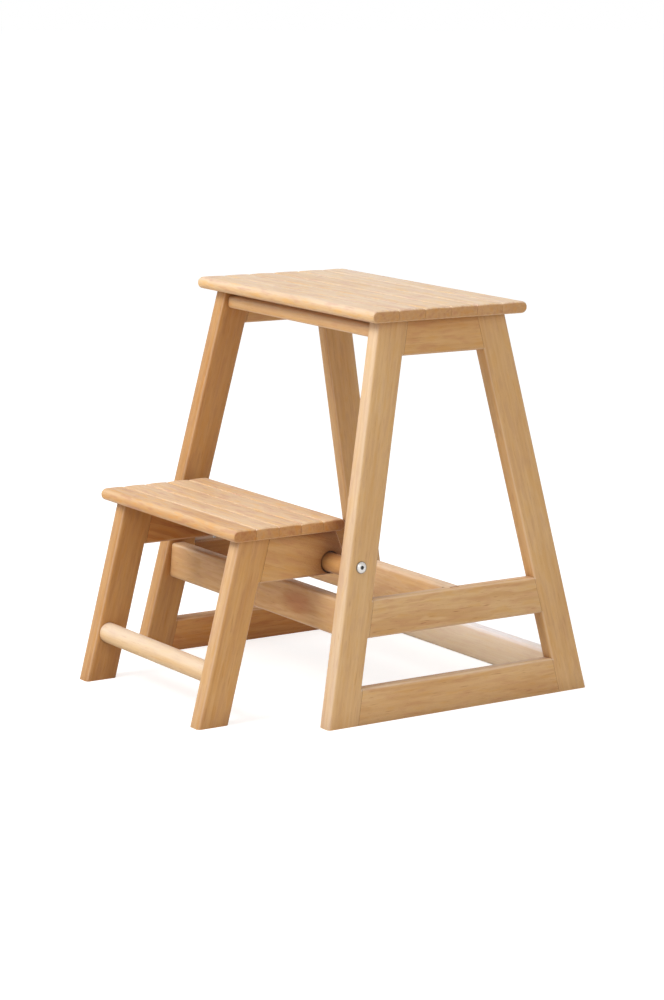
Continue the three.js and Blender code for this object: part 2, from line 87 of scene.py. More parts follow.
# Slats. The waves are the rates, in radians for each metre, at which the front and rear edges wander.
SEAT_SLATS = 6
STEP_SLATS = 5
SLAT_ROUNDS = {"top": 2.4 * MM, "bottom": 1 * MM, "nose": 6.5 * MM}
SLAT_LEAST_ROUND = 0.3 * MM
SLAT_END_ROUND = 3 * MM
SLAT_CORNER_ROUND = 2 * MM
SLAT_INNER_CORNER_ROUND = 0.3 * MM
SLAT_CROWN = 0.5 * MM
SLAT_CROWN_SPREAD = 0.25 * MM
SLAT_WANDER = 0.06 * MM
SLAT_WAVES = (23, 41, 31, 57)
SLAT_SWELL = 0.15 * MM
SLAT_STATIONS = 40
SLAT_TOP_POINTS = 9
ROUND_STEPS = 6

# Bolts, from the seat of the head outwards, and the shank inwards
BOLT_SIDES = 96
FLANGE_RADIUS = 6.8 * MM
FLANGE_HEIGHT = 0.9 * MM
FLANGE_ROUND = 0.3 * MM
DOME_RADIUS = 5.4 * MM
DOME_STEPS = 10
HEAD_HEIGHT = 2.4 * MM
HEAD_FLAT_RADIUS = 3.1 * MM
SOCKET_MOUTH_RADIUS = 2.45 * MM
SOCKET_HALF_WIDTH = 2 * MM
SOCKET_LEAD = 0.3 * MM
SOCKET_DEPTH = 1.6 * MM
SHANK_RADIUS = 3 * MM
SHANK_REACH = 31 * MM
SHANK_CHAMFER = 0.6 * MM

SHARP_ANGLE = math.radians(38)
MERGE_DISTANCE = 0.001 * MM
FACE_TOLERANCE = 0.01 * MM

# Dot products of a board's unit vectors: the least between the normals of one flat face, the most between a
# broad face's normal and the way it is long, and the least between an edge face's normal and the way square
# to both
SAME_NORMAL = 0.9998
BROAD_LEAN = 0.2
EDGE_NEARNESS = 0.99

# In the materials, a scale is how often a wood's pattern repeats in a millimetre, along and across the grain,
# and a span is the two values between which something fades in.

# Growth rings, in millimetres
RING_WANDER = 26
RING_WANDER_SCALE = (0.004, 0.01)
RING_RIPPLE = 7.0
RING_RIPPLE_SCALE = (0.014, 0.09)
RING_SHOW_SCALE = (0.008, 0.045)
RING_SHOW_SPAN = (0.38, 0.62)
RING_LEAST_SHOW = 0.25
LATE_RISE = (0.2, 0.85)
LATE_FALL = (1.0, 0.9)
RING_WIDTHS = (4.0, 7.0)
PITH_SIDE = 25
PITH_DEPTHS = (25, 70)

# Fibres, strands, clouds, flecks of two colours, dashes, pores, and a patch of heartwood
FIBRE_SCALE = (0.035, 1.5)
FIBRE_SPAN = (0.45, 0.62)
FIBRE_STRENGTH = 0.16
FIBRE_TINT = (0.76, 0.66, 0.56, 1)
STRAND_SCALE = (0.01, 0.3)
STRAND_SPAN = (0.3, 0.7)
STRAND_STRENGTH = 0.4
CLOUD_SCALE = (0.007, 0.04)
CLOUD_SPAN = (0.36, 0.66)
CLOUD_STRENGTH = 0.4
FLECK_SCALE = (0.036, 0.17)
ROSY_SPAN = (0.5, 0.68)
GOLDEN_SPAN = (0.46, 0.34)
DASH_SCALE = (0.045, 0.75)
DASH_SHIFT = (9.1, 4.3, 2.7)
DASH_SPAN = (0.62, 0.74)
DASH_STRENGTH = 0.1
DASH_FIGURE_STRENGTH = 1.1
DASH_TINT = (0.72, 0.52, 0.4, 1)
PORE_SCALE = (0.11, 1.3)
PORE_SPAN = (0.15, 0.07)
PORE_STRENGTH = 0.35
PORE_TINT = (0.45, 0.34, 0.28, 1)
PATCH_STRETCH = (0.45, 1, 1)
PATCH_SPAN = (1.9, 0.8)
PATCH_TINT = (0.76, 0.57, 0.48, 1)
FIBRE_RELIEF = 0.5
GRAIN_RELIEF = 0.06
GRAIN_ROUGHNESS = (0.5, 0.62)
WOOD_IOR = 1.45
WOOD_SHEEN = 0.12
WOOD_SHEEN_ROUGHNESS = 0.45

# Painted sheen on tops and fronts, arrises paler as part rubbed wear and part painted highlight, end grain,
# and painted shade in the crevices
PAINTED_SHEEN_WAY = (0, -0.2, 0.98)
PAINTED_SHEEN_FACING_SPAN = (0.1, 0.85)
PAINTED_SHEEN_SCALE = (0.01, 0.05)
PAINTED_SHEEN_SPAN = (0.3, 0.7)
PAINTED_SHEEN_LEAST = 0.8
PAINTED_SHEEN_TINT = (1.04, 1.22, 1.72, 1)
OPEN_AIR_SAMPLES = 8
ARRIS_SPAN = (0.97, 0.75)
ARRIS_OPEN_SPAN = (0.35, 0.7)
ARRIS_WEAR_AND_HIGHLIGHT_COLOUR = (0.93, 0.74, 0.55, 1)
END_SPAN = (0.7, 0.98)
END_STRENGTH = 0.85
END_TINT = (0.76, 0.62, 0.5, 1)
CREVICE_SHADE_SPAN = (0.82, 0.22)
CREVICE_SHADE_TINT = (0.34, 0.2, 0.11, 1)

# Wear that rounds a board's faces off towards its arrises, in millimetres
WORN_SLOTS = ("leg_wood", "rail_wood")
WORN_WIDTH = 6.5
WORN_DROP = 1.1

# Plain metals: each slot's colour and roughness, and how often the fine grain that they share repeats in a
# metre along X, Y and Z
METAL_LOOKS = {"steel": ((0.36, 0.33, 0.3, 1), 0.48), "brass": ((0.62, 0.46, 0.2, 1), 0.38)}
METAL_GRAIN = (4000, 900, 900)
METAL_SHADE = 0.86
METAL_SHADE_SPAN = (0.35, 0.65)
METAL_ROUGH_SPAN = (0.3, 0.7)
METAL_SMOOTHER = 0.06
METAL_ROUGHER = 0.08

# The bolts' turned steel, where a rate is how often a pattern repeats in a metre
TURNED_RATE = 9000.0
TURNED_SPAN = (0.35, 0.65)
TURNED_PALE = (0.74, 0.73, 0.71, 1)
TURNED_GREY = (0.56, 0.54, 0.51, 1)
COAT_RATE = 900
COAT_SPAN = (0.5, 0.7)
COAT_STRENGTH = 0.5
COAT_TINT = (0.8, 0.78, 0.74, 1)
COAT_ROUGH_SPAN = (0.35, 0.65)
COAT_ROUGHNESS = (0.26, 0.42)
# Painted shade: the socket's inside is near black and less metallic
SOCKET_SHADE_RADIUS_SPAN = (SOCKET_MOUTH_RADIUS + 0.1 * MM, SOCKET_MOUTH_RADIUS - 0.3 * MM)
SOCKET_SHADE_HEIGHT_SPAN = (HEAD_HEIGHT, HEAD_HEIGHT - 0.5 * MM)
SOCKET_SHADE_COLOUR = (0.03, 0.027, 0.024, 1)
SOCKET_SHADE_COVER = 0.8
# Painted shade: a dark ring round the flange's edge
RIM_SHADE_SPAN = (FLANGE_RADIUS - 1.1 * MM, FLANGE_RADIUS - 0.4 * MM)
RIM_SHADE_TINT = (0.35, 0.3, 0.25, 1)

# A mix node's sockets for colours, whose names are those of its other sockets too
MIX_FACTOR, MIX_FIRST, MIX_SECOND, MIX_RESULT = 0, 6, 7, 2

VECTOR = "NodeSocketVector"
FLOAT = "NodeSocketFloat"
COLOUR = "NodeSocketColor"

# Pale and dark wood for each slot, and what tints its pink-grey and its golden streaks
WOODS = {
    "leg_wood": ((0.81, 0.52, 0.245), (0.71, 0.41, 0.165), (0.95, 0.93, 0.98), (1, 0.97, 0.88)),
    "rail_wood": ((0.79, 0.49, 0.215), (0.68, 0.37, 0.14), (0.95, 0.88, 0.9), (1, 0.96, 0.84)),
    "slat_wood": ((0.83, 0.56, 0.29), (0.74, 0.45, 0.20), (0.92, 0.83, 0.86), (1.03, 0.95, 0.76)),
    "round_wood": ((0.87, 0.62, 0.34), (0.81, 0.53, 0.26), (0.96, 0.94, 0.97), (1, 0.98, 0.92)),
    "peg_wood": ((0.78, 0.50, 0.25), (0.64, 0.36, 0.15), (0.90, 0.86, 0.92), (1, 0.96, 0.84)),
}

# How much deeper than its slot's tone a piece's wood is, above one being richer, give or take the spread.
# This is partly the wood's own tone and partly painted shade: the left pieces under and behind the step are
# deepened for the shade they stand in, mid_side_rail_left most, and the rear bottom rail is kept pale as
# painted light.
USUAL_DEPTH = 1.0
DEPTH_SPREAD = 0.06
DEPTHS = {
    "front_leg_left": 1.4,
    "front_leg_right": 0.95,
    "rear_leg_left": 1.1,
    "rear_leg_right": 1.05,
    "bottom_side_rail_left": 1.4,
    "bottom_side_rail_right": 0.93,
    "mid_side_rail_left": 1.6,
    "mid_side_rail_right": 0.9,
    "top_side_rail_right": 1.1,
    "top_front_rail": 0.9,
    "front_cross_rail": 0.94,
    "mid_cross_rail": 0.75,
    "rear_bottom_rail": 0.45,
    "step_leg_left": 1.35,
    "step_leg_right": 1.25,
    "step_side_rail_left": 1.4,
    "step_side_rail_right": 1.1,
    "pivot_rod": 1.75,
    "step_slat_1": 1.4,
    **{f"step_slat_{index}": 1.15 for index in range(2, STEP_SLATS + 1)},
}

# How light a piece's wood is against its slot's tone. This is partly the wood's own tone and partly painted
# light and shade: the left pieces are darkened as painted shade, mid_side_rail_left most, and the rear bottom
# rail is lightened as painted light for the shadow it lies in.
USUAL_LIGHTNESS = 1.0
LIGHTNESSES = {
    "front_leg_left": 0.86,
    "mid_side_rail_left": 0.6,
    "top_front_rail": 1.18,
    "front_cross_rail": 0.98,
    "mid_cross_rail": 1.08,
    "rear_bottom_rail": 1.08,
    "step_leg_left": 0.87,
    "step_leg_right": 0.96,
    "step_side_rail_left": 0.95,
    "step_side_rail_right": 0.98,
    "pivot_rod": 0.94,
    "step_slat_1": 0.96,
}

# How strong a piece's painted sheen on its tops and fronts is, where that isn't the usual
USUAL_PAINTED_SHEEN = 1.0
PAINTED_SHEENS = {
    "front_leg_right": 2.9,
    "rear_leg_left": 0.5,
    "rear_leg_right": 1.5,
    "mid_side_rail_right": 0.4,
    "top_front_rail": 3.0,
    "front_cross_rail": 0.8,
    "rear_bottom_rail": 1.2,
    "step_leg_right": 2.2,
    "pivot_rod": 0.1,
    **{f"step_slat_{index}": 0.85 for index in range(1, STEP_SLATS + 1)},
}

# How dark the painted shade in a piece's crevices is, where that isn't the usual
USUAL_CREVICE_SHADE = 0.6
CREVICE_SHADES = {
    "mid_side_rail_left": 1.0,
    "top_front_rail": 0.3,
    "rear_bottom_rail": 0.05,
    "step_side_rail_left": 0.8,
    "step_side_rail_right": 1.0,
    "pivot_rod": 0.8,
    "seat_slat_1": 0.3,
}

# How far a piece's crevices reach, for their painted shade and for the fading of its pale arrises, where that
# isn't the usual
USUAL_REACH = 55 * MM
REACHES = {
    "mid_side_rail_left": 150 * MM,
    "step_side_rail_left": 90 * MM,
    "step_side_rail_right": 120 * MM,
    "pivot_rod": 90 * MM,
}

# How strongly the growth rings show, where that isn't the usual
USUAL_FIGURE = 0.3
FIGURES = {
    "bottom_side_rail_left": 0.6,
    "bottom_side_rail_right": 0.6,
    "mid_side_rail_right": 0.85,
    "front_cross_rail": 0.6,
    "rear_bottom_rail": 0.0,
    "step_side_rail_left": 0.6,
}

# How pale the arrises are, as part rubbed wear and part painted highlight, for each slot with any
NO_ARRIS = 0.0
ARRIS_WEAR_AND_HIGHLIGHTS = {"leg_wood": 0.25, "rail_wood": 0.25, "slat_wood": 0.08}

# A dark patch of heartwood: the place of its middle in the part, and its size in millimetres. Where a piece
# has none, the place is a metre up, clear of the part.
NO_PATCH = ((0, 0, 1), 1.0)
PATCHES = {
    "front_cross_rail": ((0.095, -0.092, 0.12), 15.0),
}

# How far apart, in millimetres, the places in the endless timber may be from which pieces are cut
TIMBER_REACH = 5000


def node(tree, kind, inputs=None, **settings):
    made = tree.nodes.new(kind)
    for name, value in settings.items():
        setattr(made, name, value)
    for key, value in (inputs or {}).items():
        feed(tree, made.inputs[key], value)
    return made


def feed(tree, socket, value):
    """Give a socket its value: a link from another socket, or a constant."""
    if isinstance(value, bpy.types.NodeSocket):
        tree.links.new(value, socket)
    else:
        socket.default_value = value


def maths(tree, operation, first, second=0.0, third=0.0, clamp=False):
    inputs = {0: first, 1: second, 2: third}
    return node(tree, "ShaderNodeMath", inputs, operation=operation, use_clamp=clamp).outputs[0]


def vector_maths(tree, operation, first, second=(0, 0, 0)):
    made = node(tree, "ShaderNodeVectorMath", {0: first, 1: second}, operation=operation)
    return made.outputs["Value" if operation in ("LENGTH", "DOT_PRODUCT") else "Vector"]


def scaled(tree, vector, scale):
    inputs = {0: vector, "Scale": scale}
    return node(tree, "ShaderNodeVectorMath", inputs, operation="SCALE").outputs["Vector"]


def stretched(tree, place, scale):
    """A place in a pattern with one scale along the grain and another across it."""
    along, across = scale
    return vector_maths(tree, "MULTIPLY", place, (along, across, across))


def parted(tree, vector):
    return node(tree, "ShaderNodeSeparateXYZ", {0: vector}).outputs


def noise(tree, place, detail=2.0, roughness=0.5, output="Fac"):
    inputs = {"Vector": place, "Scale": 1.0, "Detail": detail, "Roughness": roughness}
    return node(tree, "ShaderNodeTexNoise", inputs).outputs[output]


def fade(tree, value, span, start=0.0, end=1.0):
    """From start to end, as a value goes from the first of a span's two numbers to the second."""
    inputs = {"Value": value, "From Min": span[0], "From Max": span[1], "To Min": start, "To Max": end}
    return node(tree, "ShaderNodeMapRange", inputs, interpolation_type="SMOOTHSTEP").outputs[0]


def mix(tree, factor, first, second, blend="MIX"):
    inputs = {MIX_FACTOR: factor, MIX_FIRST: first, MIX_SECOND: second}
    settings = {"data_type": "RGBA", "blend_type": blend, "clamp_factor": True}
    return node(tree, "ShaderNodeMix", inputs, **settings).outputs[MIX_RESULT]


def tinted(tree, factor, colour, tint):
    return mix(tree, factor, colour, tint, blend="MULTIPLY")


def new_group(name, inputs, outputs):
    tree = bpy.data.node_groups.new(name, "ShaderNodeTree")
    for label, kind in inputs.items():
        tree.interface.new_socket(label, in_out="INPUT", socket_type=kind)
    for label, kind in outputs.items():
        tree.interface.new_socket(label, in_out="OUTPUT", socket_type=kind)
    return tree, tree.nodes.new("NodeGroupInput").outputs, tree.nodes.new("NodeGroupOutput").inputs


def new_material(name):
    material = bpy.data.materials.new(name)
    material.use_nodes = True
    material.node_tree.nodes.clear()
    return material, material.node_tree


def ring_lines(tree, given, shifted):
    """Late wood of the growth rings round the pith, strongest where a slow noise lets them show."""
    slow = noise(tree, stretched(tree, shifted, RING_WANDER_SCALE), detail=1, output="Color")
    wander = vector_maths(tree, "SUBTRACT", slow, (0.5, 0.5, 0.5))
    drift = vector_maths(tree, "MULTIPLY", wander, (0, RING_WANDER, RING_WANDER))
    drifted = vector_maths(tree, "ADD", given["Place"], drift)
    from_pith = vector_maths(tree, "SUBTRACT", drifted, given["Pith"])
    radius = vector_maths(tree, "LENGTH", vector_maths(tree, "MULTIPLY", from_pith, (0, 1, 1)))
    ripple = maths(tree, "MULTIPLY", noise(tree, stretched(tree, shifted, RING_RIPPLE_SCALE)), RING_RIPPLE)
    rings = maths(tree, "DIVIDE", maths(tree, "ADD", radius, ripple), given["Ring"])
    season = maths(tree, "FRACT", rings)
    late = maths(tree, "MULTIPLY", fade(tree, season, LATE_RISE), fade(tree, season, LATE_FALL))
    letting = noise(tree, stretched(tree, shifted, RING_SHOW_SCALE))
    return maths(tree, "MULTIPLY", late, fade(tree, letting, RING_SHOW_SPAN, RING_LEAST_SHOW, 1.0))


def make_timber():
    """Solid wood in millimetres, with X along the grain."""
    tree, given, result = new_group(
        "timber",
        {"Place": VECTOR, "Shift": VECTOR, "Pith": VECTOR, "Ring": FLOAT, "Figure": FLOAT, "Pale": COLOUR,
         "Dark": COLOUR, "Rosy": COLOUR, "Golden": COLOUR, "Patch": VECTOR, "Patch Size": FLOAT},
        {"Color": COLOUR, "Roughness": FLOAT, "Height": FLOAT},
    )
    shifted = vector_maths(tree, "ADD", given["Place"], given["Shift"])
    late = ring_lines(tree, given, shifted)
    fibres = noise(tree, stretched(tree, shifted, FIBRE_SCALE), detail=4, roughness=0.6)
    strands = noise(tree, stretched(tree, shifted, STRAND_SCALE), detail=3)
    clouds = noise(tree, stretched(tree, shifted, CLOUD_SCALE))
    flecks = noise(tree, stretched(tree, shifted, FLECK_SCALE))
    dashes = noise(tree, vector_maths(tree, "ADD", stretched(tree, shifted, DASH_SCALE), DASH_SHIFT))
    cells = node(tree, "ShaderNodeTexVoronoi", {"Vector": stretched(tree, shifted, PORE_SCALE), "Scale": 1.0})
    pores = fade(tree, cells.outputs["Distance"], PORE_SPAN)

    to_patch = vector_maths(tree, "SUBTRACT", given["Place"], given["Patch"])
    patch_far = vector_maths(tree, "LENGTH", vector_maths(tree, "MULTIPLY", to_patch, PATCH_STRETCH))
    patch_edge = maths(tree, "ADD", maths(tree, "DIVIDE", patch_far, given["Patch Size"]), flecks)

    grain = maths(tree, "MULTIPLY", late, given["Figure"])
    grain = maths(tree, "MULTIPLY_ADD", fade(tree, strands, STRAND_SPAN), STRAND_STRENGTH, grain)
    grain = maths(tree, "MULTIPLY_ADD", fade(tree, clouds, CLOUD_SPAN), CLOUD_STRENGTH, grain, clamp=True)
    body = mix(tree, grain, given["Pale"], given["Dark"])
    body = tinted(tree, fade(tree, flecks, ROSY_SPAN), body, given["Rosy"])
    body = tinted(tree, fade(tree, flecks, GOLDEN_SPAN), body, given["Golden"])
    lines = maths(tree, "MULTIPLY", fade(tree, fibres, FIBRE_SPAN), FIBRE_STRENGTH)
    body = tinted(tree, lines, body, FIBRE_TINT)
    marked = maths(tree, "MULTIPLY_ADD", given["Figure"], DASH_FIGURE_STRENGTH, DASH_STRENGTH, clamp=True)
    marks = maths(tree, "MULTIPLY", fade(tree, dashes, DASH_SPAN), marked)
    body = tinted(tree, marks, body, DASH_TINT)
    body = tinted(tree, maths(tree, "MULTIPLY", pores, PORE_STRENGTH), body, PORE_TINT)
    body = tinted(tree, fade(tree, patch_edge, PATCH_SPAN), body, PATCH_TINT)

    raised = maths(tree, "MULTIPLY", fibres, FIBRE_RELIEF)
    feed(tree, result["Color"], body)
    feed(tree, result["Roughness"], fade(tree, strands, STRAND_SPAN, *GRAIN_ROUGHNESS))
    feed(tree, result["Height"], maths(tree, "SUBTRACT", raised, pores))
    return tree


def make_wear_and_painted_light():
    """What use has done, with painted light: tops and fronts paler as painted sheen, arrises paler as part
    rubbed wear and part painted highlight, end grain dark, and crevices dark as painted shade.

    Its drop, in millimetres, is how far wear has lowered a board's faces near their arrises.
    """
    tree, given, result = new_group(
        "ageing",
        {"Color": COLOUR, "Normal": VECTOR, "Grain Normal": VECTOR, "Place": VECTOR, "Half": VECTOR,
         "Bleach": FLOAT, "Arris": FLOAT, "Grime": FLOAT, "Reach": FLOAT},
        {"Color": COLOUR, "Drop": FLOAT},
    )
    # Painted sheen: faces turned up and towards the front are made paler and whiter
    facing = vector_maths(tree, "DOT_PRODUCT", given["Normal"], PAINTED_SHEEN_WAY)
    uneven = noise(tree, stretched(tree, given["Place"], PAINTED_SHEEN_SCALE))
    patchy = fade(tree, uneven, PAINTED_SHEEN_SPAN, PAINTED_SHEEN_LEAST, 1.0)
    painted_sheen = maths(tree, "MULTIPLY", fade(tree, facing, PAINTED_SHEEN_FACING_SPAN), patchy)
    body = tinted(tree, maths(tree, "MULTIPLY", painted_sheen, given["Bleach"]), given["Color"], PAINTED_SHEEN_TINT)

    parts = parted(tree, vector_maths(tree, "ABSOLUTE", given["Grain Normal"]))
    flat = maths(tree, "MAXIMUM", maths(tree, "MAXIMUM", parts["X"], parts["Y"]), parts["Z"])
    occlusion = {"Distance": given["Reach"]}
    open_air = node(tree, "ShaderNodeAmbientOcclusion", occlusion, samples=OPEN_AIR_SAMPLES).outputs["AO"]
    # Arrises made paler, part rubbed wear and part painted highlight, fading out where they lie in shade
    worn_and_lit = maths(tree, "MULTIPLY", fade(tree, flat, ARRIS_SPAN), fade(tree, open_air, ARRIS_OPEN_SPAN))
    body = mix(tree, maths(tree, "MULTIPLY", worn_and_lit, given["Arris"]), body, ARRIS_WEAR_AND_HIGHLIGHT_COLOUR)
    end_grain = maths(tree, "MULTIPLY", fade(tree, parts["X"], END_SPAN), END_STRENGTH)
    body = tinted(tree, end_grain, body, END_TINT)
    # Painted shade: crevices and places under or between parts darkened by their ambient occlusion
    crevice_shade = maths(tree, "MULTIPLY", fade(tree, open_air, CREVICE_SHADE_SPAN), given["Grime"])
    feed(tree, result["Color"], tinted(tree, crevice_shade, body, CREVICE_SHADE_TINT))

    past_flat = vector_maths(tree, "SUBTRACT", vector_maths(tree, "ABSOLUTE", given["Place"]), given["Half"])
    share = scaled(tree, vector_maths(tree, "ADD", past_flat, (WORN_WIDTH,) * 3), 1 / WORN_WIDTH)
    near = parted(tree, vector_maths(tree, "MAXIMUM", share, (0, 0, 0)))
    both = maths(tree, "MULTIPLY_ADD", near["Y"], near["Y"], maths(tree, "MULTIPLY", near["Z"], near["Z"]))
    feed(tree, result["Drop"], maths(tree, "MULTIPLY", both, WORN_DROP))
    return tree


TIMBER = make_timber()
WEAR_AND_PAINTED_LIGHT = make_wear_and_painted_light()


def grain_axes(piece):
    """A piece's middle, three unit vectors, and half its size along them in millimetres.

    The first vector goes along the grain, which is the way the piece is long, the second across it in the
    piece's width, and the third through its thickness.
    """
    points = np.array([vertex.co for vertex in piece.data.vertices])
    middle = (points.max(0) + points.min(0)) / 2
    normals = np.array([face.normal for face in piece.data.polygons])
    areas = np.array([face.area for face in piece.data.polygons])
    alike = (np.abs(normals @ normals.T) > SAME_NORMAL) @ areas

    def widest_facing(direction, least, most):
        nearness = np.abs(normals @ direction)
        return normals[np.argmax(np.where((nearness >= least) & (nearness <= most), alike, -1))]

    _, axes = np.linalg.eigh(np.cov((points - points.mean(0)).T))
    longest = axes[:, 2]
    through = Vector(widest_facing(longest, 0, BROAD_LEAN))
    across = Vector(widest_facing(np.cross(longest, through), EDGE_NEARNESS, 1))
    along = across.cross(through).normalized()
    across = through.cross(along)
    half = np.abs((points - middle) @ np.array([along, across, through]).T).max(0)
    return Vector(middle), along, across, through, half / MM


def wood_colours(name, depth):
    """The four colours of a slot's wood, deepened for a piece and lightened or darkened for it, partly as its
    own tone and partly as painted light or shade.
    """
    lightness = LIGHTNESSES.get(name, USUAL_LIGHTNESS)
    strengths = (lightness, lightness, 1, 1)
    return [[strength * shade ** depth for shade in colour] + [1]
            for strength, colour in zip(strengths, WOODS[SLOT_OF[name]])]


def wood_material(piece, name):
    """The wood of a piece that is, or stands for, the named node."""
    chance = random.Random(piece.name)
    slot_name = SLOT_OF[name]
    middle, along, across, through, half = grain_axes(piece)
    turn = Matrix((along, across, through))
    material, tree = new_material(f"{slot_name}_{piece.name}")
    coordinates = node(tree, "ShaderNodeTexCoord").outputs
    place = node(tree, "ShaderNodeMapping", {
        "Vector": coordinates["Object"],
        "Scale": (1 / MM,) * 3,
        "Rotation": turn.to_euler(),
        "Location": -(turn @ middle) / MM,
    }, vector_type="POINT").outputs[0]
    grain_normal = node(tree, "ShaderNodeMapping", {
        "Vector": coordinates["Normal"],
        "Rotation": turn.to_euler(),
    }, vector_type="VECTOR").outputs[0]
    depth = DEPTHS.get(name, USUAL_DEPTH) + chance.uniform(-DEPTH_SPREAD, DEPTH_SPREAD)
    pale, dark, rosy, golden = wood_colours(name, depth)
    patch, patch_size = PATCHES.get(name, NO_PATCH)
    shift = [chance.uniform(0, TIMBER_REACH) for _ in range(3)]
    pith_side = chance.uniform(-PITH_SIDE, PITH_SIDE)
    pith_depth = chance.choice((-1, 1)) * chance.uniform(*PITH_DEPTHS)
    timber = node(tree, "ShaderNodeGroup", {
        "Place": place,
        "Shift": shift,
        "Pith": (0, pith_side, pith_depth),
        "Ring": chance.uniform(*RING_WIDTHS),
        "Figure": FIGURES.get(name, USUAL_FIGURE),
        "Pale": pale,
        "Dark": dark,
        "Rosy": rosy,
        "Golden": golden,
        "Patch": turn @ (Vector(patch) - middle) / MM,
        "Patch Size": patch_size,
    }, node_tree=TIMBER).outputs
    # Painted sheen on tops and fronts, pale arrises that are part wear and part painted highlight, and
    # painted shade in the crevices
    ageing = node(tree, "ShaderNodeGroup", {
        "Color": timber["Color"],
        "Normal": coordinates["Normal"],
        "Grain Normal": grain_normal,
        "Place": place,
        "Half": half,
        "Bleach": PAINTED_SHEENS.get(name, USUAL_PAINTED_SHEEN),
        "Arris": ARRIS_WEAR_AND_HIGHLIGHTS.get(slot_name, NO_ARRIS),
        "Grime": CREVICE_SHADES.get(name, USUAL_CREVICE_SHADE),
        "Reach": REACHES.get(name, USUAL_REACH),
    }, node_tree=WEAR_AND_PAINTED_LIGHT).outputs
    worn = 1.0 if slot_name in WORN_SLOTS else 0.0
    drop = maths(tree, "MULTIPLY", ageing["Drop"], -worn)
    relief = maths(tree, "MULTIPLY_ADD", timber["Height"], GRAIN_RELIEF, drop)
    bump = node(tree, "ShaderNodeBump", {"Strength": 1.0, "Distance": MM, "Height": relief})
    shader = node(tree, "ShaderNodeBsdfPrincipled", {
        "Base Color": ageing["Color"],
        "Roughness": timber["Roughness"],
        "Normal": bump.outputs[0],
        "IOR": WOOD_IOR,
        "Sheen Weight": WOOD_SHEEN,
        "Sheen Roughness": WOOD_SHEEN_ROUGHNESS,
    })
    node(tree, "ShaderNodeOutputMaterial", {"Surface": shader.outputs[0]})
    return material


def metal_material(name, colour, rough):
    material, tree = new_material(name)
    place = node(tree, "ShaderNodeTexCoord").outputs["Object"]
    fine = noise(tree, vector_maths(tree, "MULTIPLY", place, METAL_GRAIN), detail=3)
    shade = [part * METAL_SHADE for part in colour[:3]] + [1]
    shader = node(tree, "ShaderNodeBsdfPrincipled", {
        "Base Color": mix(tree, fade(tree, fine, METAL_SHADE_SPAN), colour, shade),
        "Roughness": fade(tree, fine, METAL_ROUGH_SPAN, rough - METAL_SMOOTHER, rough + METAL_ROUGHER),
        "Metallic": 1.0,
    })
    node(tree, "ShaderNodeOutputMaterial", {"Surface": shader.outputs[0]})
    return material


def bolt_material(name, seat, outward):
    """Turned steel with fine rings round the bolt's axis, a pitted coat, and painted shade: a dark rim round
    the flange and a socket painted near black.
    """
    material, tree = new_material(name)
    place = node(tree, "ShaderNodeTexCoord").outputs["Object"]
    offset = vector_maths(tree, "SUBTRACT", place, seat)
    height = vector_maths(tree, "DOT_PRODUCT", offset, outward)
    from_axis = vector_maths(tree, "SUBTRACT", offset, scaled(tree, outward, height))
    radius = vector_maths(tree, "LENGTH", from_axis)
    coat = noise(tree, scaled(tree, offset, COAT_RATE), detail=3)
    inputs = {"W": radius, "Scale": TURNED_RATE, "Detail": 2.0}
    rings = node(tree, "ShaderNodeTexNoise", inputs, noise_dimensions="1D").outputs["Fac"]
    steel = mix(tree, fade(tree, rings, TURNED_SPAN), TURNED_PALE, TURNED_GREY)
    steel = tinted(tree, fade(tree, coat, COAT_SPAN, 0.0, COAT_STRENGTH), steel, COAT_TINT)
    # Painted shade inside the socket
    in_mouth = fade(tree, radius, SOCKET_SHADE_RADIUS_SPAN)
    inside = maths(tree, "MULTIPLY", in_mouth, fade(tree, height, SOCKET_SHADE_HEIGHT_SPAN))
    steel = mix(tree, inside, steel, SOCKET_SHADE_COLOUR)
    # Painted shade in a ring round the flange's edge
    steel = tinted(tree, fade(tree, radius, RIM_SHADE_SPAN), steel, RIM_SHADE_TINT)
    shader = node(tree, "ShaderNodeBsdfPrincipled", {
        "Base Color": steel,
        "Roughness": fade(tree, coat, COAT_ROUGH_SPAN, *COAT_ROUGHNESS),
        "Metallic": maths(tree, "SUBTRACT", 1.0, maths(tree, "MULTIPLY", inside, SOCKET_SHADE_COVER)),
    })
    node(tree, "ShaderNodeOutputMaterial", {"Surface": shader.outputs[0]})
    return material


METALS = {slot: metal_material(slot, *look) for slot, look in METAL_LOOKS.items()}


def dress(piece):
    material = METALS.get(SLOT_OF[piece.name]) or wood_material(piece, piece.name)
    piece.data.materials.clear()
    piece.data.materials.append(material)
    return piece


def make_smoothing():
    """Smooth shading up to the sharp angle, as a modifier, so that a mesh itself stays as it is."""
    tree = bpy.data.node_groups.new("smoothing", "GeometryNodeTree")
    tree.interface.new_socket("Geometry", in_out="INPUT", socket_type="NodeSocketGeometry")
    tree.interface.new_socket("Geometry", in_out="OUTPUT", socket_type="NodeSocketGeometry")
    start = tree.nodes.new("NodeGroupInput").outputs[0]
    inputs = {"Geometry": start, "Distance": MERGE_DISTANCE}
    merged = node(tree, "GeometryNodeMergeByDistance", inputs).outputs[0]
    inputs = {"Geometry": merged, "Shade Smooth": True}
    rounded = node(tree, "GeometryNodeSetShadeSmooth", inputs, domain="FACE").outputs[0]
    angle = node(tree, "GeometryNodeInputMeshEdgeAngle").outputs["Unsigned Angle"]
    settings = {"data_type": "FLOAT", "operation": "GREATER_THAN"}
    sharp = node(tree, "FunctionNodeCompare", {0: angle, 1: SHARP_ANGLE}, **settings).outputs[0]
    inputs = {"Geometry": rounded, "Selection": sharp, "Shade Smooth": False}
    creased = node(tree, "GeometryNodeSetShadeSmooth", inputs, domain="EDGE").outputs[0]
    node(tree, "NodeGroupOutput", {0: creased})
    return tree


SMOOTHING = make_smoothing()


